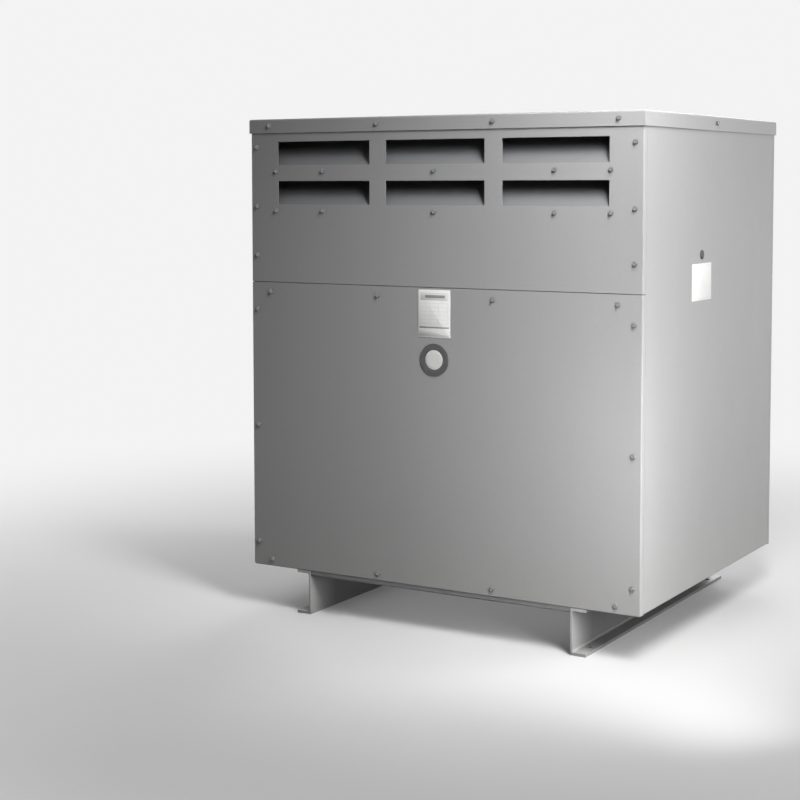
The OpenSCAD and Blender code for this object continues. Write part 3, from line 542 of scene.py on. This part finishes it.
class Plate:
    """A bare plate on a wall, with flat printed fields given in mm from its middle."""

    CORNER, EDGE = 3 * MM, 0.3 * MM
    PRINT = 0.10 * MM  # room left for the fields below the node's outer face

    def __init__(self, node, axis):
        self.node = node
        self.place, w, h, t = wall_box(node, axis)
        self.half_w, self.half_h = w / 2 / MM, h / 2 / MM
        self.face = t - self.PRINT
        self.bm = bmesh.new()
        slab(self.bm, w, h, self.CORNER, 0, self.face, self.EDGE, self.place)

    def field(self, x0, x1, y0, y1, index, proud=0.05):
        centre = self.place @ Matrix.Translation(((x0 + x1) / 2 * MM, (y0 + y1) / 2 * MM, 0))
        corner = min(0.3, (y1 - y0) / 3, (x1 - x0) / 3) * MM
        slab(self.bm, (x1 - x0) * MM, (y1 - y0) * MM, corner,
             self.face - 0.02 * MM, self.face + proud * MM, 0.01 * MM, centre, index)

    def finish(self, *inks):
        finished(f"{self.node}_detail", self.bm, [paint["plate_white"], *inks], "plate_white", self.node)


ink = printed("plate_ink", linear(138, 139, 141), 0.42)
faint_ink = printed("plate_faint_ink", linear(212, 212, 211), 0.42)
strip_ink = printed("plate_strip_ink", linear(228, 228, 226), 0.42)

plate = Plate("rating_plate", 1)
INK, FAINT, STRIP = 1, 2, 3
w, h = plate.half_w, plate.half_h
table_top, row, rows = h * 0.44, h * 0.17, 5
plate.field(-w + 4, w - 4, h * -0.60, h * -0.545, INK)
plate.field(-w + 3, w - 3, -h + 4, h * -0.64, STRIP, 0.04)
for k in range(rows + 1):
    y = table_top - k * row
    plate.field(-w + 7, w - 7, y - 0.35, y + 0.35, FAINT)
for x in -w + 7, -12.0, 14.0, w - 7:
    plate.field(x - 0.35, x + 0.35, table_top - rows * row, table_top, FAINT, 0.04)
plate.field(-w + 7, w - 7, h * 0.56, h * 0.88, FAINT, 0.04)
plate.field(-w + 22, w - 16, h * 0.66, h * 0.78, INK, 0.06)
plate.finish(ink, faint_ink, strip_ink)


# Round badge: a grey ring with a dished, pale middle

place, w, h, t = wall_box("round_badge", 1)
badge_pale = printed("badge_pale", linear(226, 226, 224), 0.3, 0.5)
r = w / 2
bm = bmesh.new()
lathe(bm, [(r, 0), (r, t * 0.55), (r - 0.6 * MM, t * 0.9), (r * 0.93, t), (r * 0.70, t),
           (r * 0.685, t * 0.72), (r * 0.62, t * 0.70)], 72, place)
lathe(bm, [(r * 0.60, t * 0.5), (r * 0.60, t * 0.82), (r * 0.58, t * 0.95), (r * 0.40, t * 0.99),
           (r * 0.2, t)], 72, place, 1)
finished("round_badge_detail", bm, [paint["badge_grey"], badge_pale], "badge_grey", "round_badge")


# Side label: a thin frame, 6 mm in from its edges

label = Plate("side_label", 0)
FRAME = 1
w, h = label.half_w - 6, label.half_h - 6
for y in h, -h:
    label.field(-w, w, y - 0.4, y + 0.4, FRAME)
for x in -w, w:
    label.field(x - 0.4, x + 0.4, -h, h, FRAME, 0.04)
label.finish(faint_ink)


# Hole plug: a barbed stem in the side panel's hole, under a domed head

low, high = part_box("side_plug")
centre = (low + high) / 2
r = (high.z - low.z) / 2
centre.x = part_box("side_label")[0].x
out = high.x - centre.x
back = centre.x - low.x
stem = [(8.7 * MM, -back), (8.9 * MM, -back + 0.8 * MM), (8.3 * MM, -back * 0.35), (8.6 * MM, 0.0)]
head = [(r, 0.0), (r, out * 0.3), (r * 0.94, out * 0.62), (r * 0.78, out * 0.9), (r * 0.45, out), (r * 0.2, out)]
bm = bmesh.new()
lathe(bm, stem + head, 48, facing(centre, (1, 0, 0)))
finished("side_plug_detail", bm, [paint["plug_black"]], "plug_black", "side_plug")


# Stage: a pale floor that passes into a pale backdrop, which mirrors and the camera see

BACKDROP = linear(243, 243, 243)
FLOOR = linear(224, 224, 224)
FLOOR_BOUNCE = linear(108, 108, 108)  # the floor as other surfaces see it, so that it lights them less
FADE_FROM, FADE_TO = 0.9, 3.4  # metres from the middle
FLOOR_RADIUS = 40
SEEN_BY = "Is Camera Ray", "Is Glossy Ray", "Is Transmission Ray"


def node_of(tree, kind, *values):
    """Adds a node and links or sets its inputs, in their order."""
    node = tree.nodes.new(kind)
    for socket, value in zip(node.inputs, values):
        if isinstance(value, bpy.types.NodeSocket):
            tree.links.new(value, socket)
        else:
            socket.default_value = value
    return node


def seen_rays(tree):
    """1 for the rays that show the backdrop: the camera's, glossy ones and those through glass."""
    path = tree.nodes.new("ShaderNodeLightPath").outputs
    seen = path[SEEN_BY[0]]
    for kind in SEEN_BY[1:]:
        either = node_of(tree, "ShaderNodeMath", seen, path[kind])
        either.operation = "MAXIMUM"
        seen = either.outputs[0]
    return seen


floor_mat = Finish("studio_floor", FLOOR, 0.8)
floor_mat.vary(0.8, 0.006)
floor_mat.done()
tree = floor_mat.tree
seen = seen_rays(tree)
far = floor_mat.add("ShaderNodeVectorMath", operation="LENGTH")
floor_mat.put(far.inputs[0], floor_mat.place)
fade = node_of(tree, "ShaderNodeMapRange", far.outputs["Value"], FADE_FROM, FADE_TO)
fade.interpolation_type = "SMOOTHSTEP"
dull = node_of(tree, "ShaderNodeBsdfDiffuse", FLOOR_BOUNCE)
glow = node_of(tree, "ShaderNodeEmission", BACKDROP)
surface = node_of(tree, "ShaderNodeMixShader", seen, dull.outputs[0], floor_mat.bsdf.outputs[0])
shown = floor_mat.calc("MULTIPLY", fade.outputs[0], seen)
mixer = node_of(tree, "ShaderNodeMixShader", shown, surface.outputs[0], glow.outputs[0])
tree.links.new(mixer.outputs[0], tree.nodes["Material Output"].inputs["Surface"])

bm = bmesh.new()
bmesh.ops.create_circle(bm, cap_ends=True, segments=96, radius=FLOOR_RADIUS)
mesh = bpy.data.meshes.new("floor")
bm.to_mesh(mesh)
bm.free()
floor = bpy.data.objects.new("floor", mesh)
scene.collection.objects.link(floor)
mesh.materials.append(floor_mat.mat)

world = bpy.data.worlds.new("studio")
scene.world = world
world.use_nodes = True
tree = world.node_tree
tree.nodes.clear()
lit = node_of(tree, "ShaderNodeBackground", (1, 1, 1, 1), 0.008)
shown = node_of(tree, "ShaderNodeBackground", BACKDROP, 1.0)
both = node_of(tree, "ShaderNodeMixShader", seen_rays(tree), lit.outputs[0], shown.outputs[0])
node_of(tree, "ShaderNodeOutputWorld", both.outputs[0])


# Lamps

def area_light(name, place, target, size, watts, spread=180, mirrored=True):
    """A rectangular lamp that the camera doesn't see; spread is in degrees."""
    data = bpy.data.lights.new(name, "AREA")
    data.shape, data.size, data.size_y, data.energy = "RECTANGLE", size[0], size[1], watts
    data.spread = math.radians(spread)
    obj = bpy.data.objects.new(name, data)
    scene.collection.objects.link(obj)
    obj.location = place
    obj.rotation_mode = "QUATERNION"
    obj.rotation_quaternion = (Vector(target) - Vector(place)).to_track_quat("-Z", "Y")
    obj.visible_camera = False
    obj.visible_glossy = mirrored


area_light("key", (1.25, -1.35, 2.20), (0.35, -0.50, 1.00), (0.45, 1.3), 12.0, spread=90, mirrored=False)
area_light("strip", (1.15, -0.95, 2.10), (0.50, -0.50, 0.85), (0.30, 1.0), 2.6, spread=80, mirrored=False)
area_light("strip_low", (1.15, -1.00, 0.55), (0.45, -0.50, 0.35), (0.30, 0.8), 2.6, spread=90)
area_light("side", (3.4, 1.6, 1.6), (0.6, 0.3, 0.7), (1.6, 1.6), 24.5, spread=100)
area_light("under", (0.0, -0.02, 0.105), (0.0, -0.02, 0.0), (0.78, 0.95), 0.6)
area_light("rear", (-1.2, 4.2, 2.6), (0, 0.4, 0.7), (2.6, 2.2), 100)
area_light("left", (-4.0, 0.6, 2.4), (-0.5, 0.2, 0.6), (2.4, 2.2), 70)


# Camera

FRAME_PIXELS = 800
SENSOR_MM = 36


def camera(place, yaw, pitch, roll, focal, centre_v):
    """yaw is towards -X from +Y, pitch is downwards; focal and centre_v are in pixels of the frame."""
    data = bpy.data.cameras.new("camera")
    obj = bpy.data.objects.new("camera", data)
    scene.collection.objects.link(obj)
    data.sensor_width = SENSOR_MM
    data.lens = focal / FRAME_PIXELS * SENSOR_MM
    data.shift_y = -(FRAME_PIXELS / 2 - centre_v) / FRAME_PIXELS
    data.clip_start, data.clip_end = 0.05, 200
    yaw, pitch, roll = (math.radians(v) for v in (yaw, pitch, roll))
    forward = Vector((-math.sin(yaw) * math.cos(pitch), math.cos(yaw) * math.cos(pitch), -math.sin(pitch)))
    right = Vector((math.cos(yaw), math.sin(yaw), 0))
    up = right.cross(forward)
    right, up = right * math.cos(roll) + up * math.sin(roll), up * math.cos(roll) - right * math.sin(roll)
    obj.matrix_world = Matrix.Translation(place) @ Matrix((right, up, -forward)).transposed().to_4x4()
    scene.camera = obj


camera((2.2385, -4.4384, 1.2395), yaw=30.874, pitch=3.977, roll=-0.098, focal=1661.4, centre_v=300)

scene.view_settings.view_transform = "Standard"
